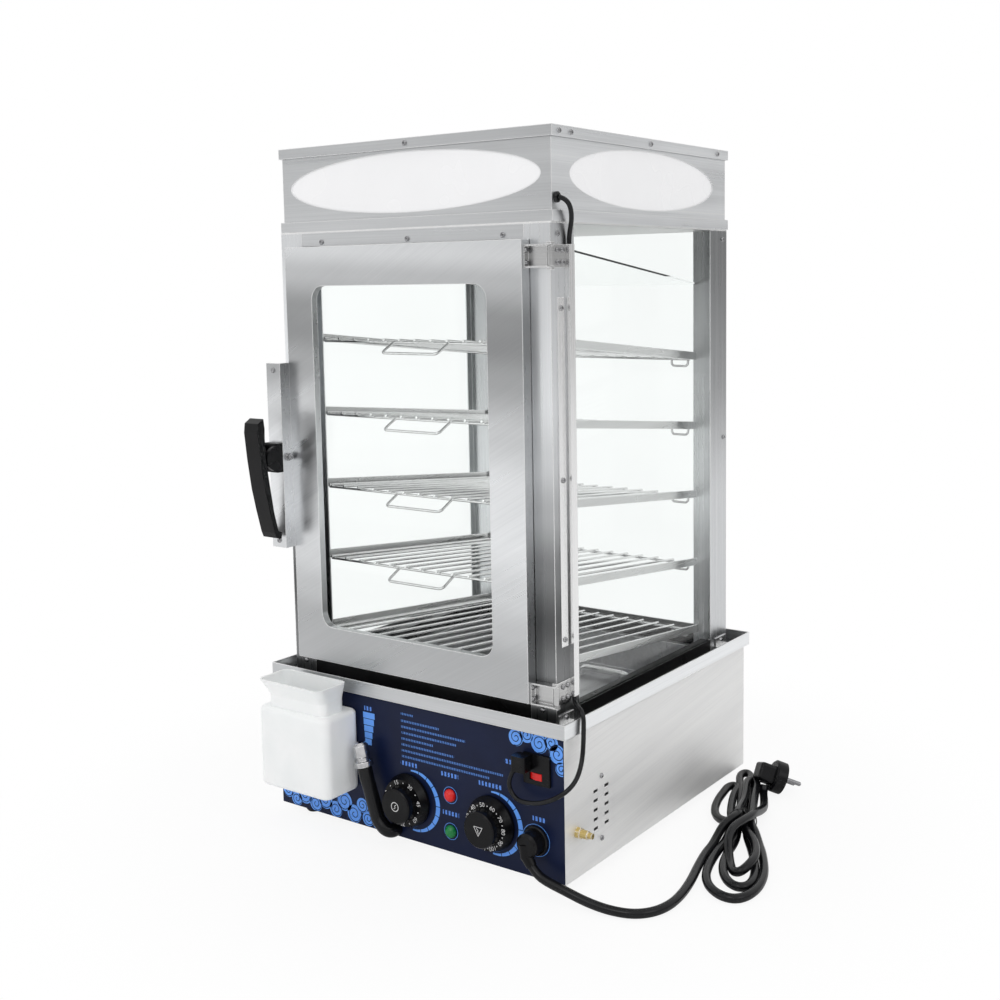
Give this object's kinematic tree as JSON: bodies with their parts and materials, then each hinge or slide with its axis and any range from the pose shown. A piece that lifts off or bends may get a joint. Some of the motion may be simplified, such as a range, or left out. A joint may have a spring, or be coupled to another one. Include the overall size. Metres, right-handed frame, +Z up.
{
  "type": "heated food display",
  "caption": "Glazed steam cabinet with sloping wire racks, a hinged glass door, a lit canopy and a square control base with knobs, a water cup and a drain hose.",
  "frame": {"origin": "on the floor under the centre of the square base", "axes": "+Z up, -Y towards the front where the door and the controls are, +X to the right of someone facing the door"},
  "size_m": [0.54, 0.4433, 0.7254],
  "materials": {
    "brushed_sheet": "brushed",
    "hinge_steel": "satin",
    "bright_wire": "bright",
    "blue_film": "satin film",
    "black_sill": "satin black",
    "black_plastic": "satin",
    "black_rubber": "soft sheen",
    "red_lens": "gloss",
    "green_lens": "gloss",
    "plated_pins": "polished",
    "translucent_plastic": "translucent",
    "valve_brass": "turned",
    "clear_glass": "clear",
    "opal_plastic": "opal",
    "lamp_glass": "opal glass and white holders"
  },
  "bodies": {
    "cabinet": {"base_shell": "brushed_sheet", "control_panel": "blue_film", "feet": "black_rubber", "gutter_lip": "brushed_sheet", "sill_frame": "black_sill", "water_basin": "brushed_sheet", "heating_element": "bright_wire", "timer_body": "black_plastic", "thermostat_body": "black_plastic", "red_lamp": "red_lens", "green_lamp": "green_lens", "switch_housing": "black_plastic", "lamp_plug": "black_plastic", "lamp_lead": "black_rubber", "lead_grommet": "black_rubber", "power_inlet": "black_plastic", "power_cord": "black_rubber", "cord_hank": "black_rubber", "cord_tie": "black_rubber", "plug_lead": "black_rubber", "plug_body": "black_plastic", "plug_pins": "plated_pins", "drain_hose": "black_rubber", "water_cup": "translucent_plastic", "side_valve": "valve_brass", "post_front_right": "brushed_sheet", "post_front_left": "brushed_sheet", "post_rear_right": "brushed_sheet", "post_rear_left": "brushed_sheet", "post_fittings": "brushed_sheet", "front_beam": "brushed_sheet", "ceiling_plate": "brushed_sheet", "side_glass_left": "clear_glass", "side_glass_right": "clear_glass", "rear_glass": "clear_glass", "rack_rails": "brushed_sheet", "rack_1": "bright_wire", "rack_2": "bright_wire", "rack_3": "bright_wire", "rack_4": "bright_wire", "rack_5": "bright_wire", "drip_baffle": "clear_glass", "hinge_post_leaves": "hinge_steel", "canopy_tray": "brushed_sheet", "canopy_shell": "brushed_sheet", "canopy_lid": "brushed_sheet", "canopy_diffusers": "opal_plastic", "canopy_lamp": "lamp_glass", "cabinet_screws": "hinge_steel"},
    "door": {"door_frame": "brushed_sheet", "door_glass": "clear_glass", "hinge_door_leaves": "hinge_steel", "handle_bracket": "brushed_sheet", "handle_block": "black_plastic", "door_screws": "hinge_steel"},
    "handle": {"handle_lever": "black_plastic"},
    "timer_dial": {"timer_knob": "black_plastic"},
    "thermostat_dial": {"thermostat_knob": "black_plastic"},
    "rocker": {"switch_rocker": "red_lens"},
    "drain_plug": {"drain_cap": "plated_pins"}
  },
  "joints": [
    {"name": "door_hinge", "type": "hinge", "parent": "cabinet", "child": "door", "pos_m": [0.1762, -0.181, 0.401], "axis": [0, 0, 1], "range_deg": [0, 110]},
    {"name": "handle_rock", "type": "hinge", "parent": "door", "child": "handle", "pos_m": [-0.1666, -0.213, 0.401], "axis": [-1, 0, 0], "range_deg": [0, 20]},
    {"name": "timer_turn", "type": "hinge", "parent": "cabinet", "child": "timer_dial", "pos_m": [-0.0035, -0.1915, 0.0522], "axis": [0, 1, 0], "range_deg": [0, 300]},
    {"name": "thermostat_turn", "type": "hinge", "parent": "cabinet", "child": "thermostat_dial", "pos_m": [0.1037, -0.1915, 0.0522], "axis": [0, 1, 0], "range_deg": [0, 270]},
    {"name": "rocker_tip", "type": "hinge", "parent": "cabinet", "child": "rocker", "pos_m": [0.1595, -0.1929, 0.1122], "axis": [0, 0, 1], "range_deg": [0, 16]},
    {"name": "drain_cap_pull", "type": "slide", "parent": "cabinet", "child": "drain_plug", "axis": [-0.1874, -0.0357, 0.9816], "range_m": [0, 0.015]}
  ]
}
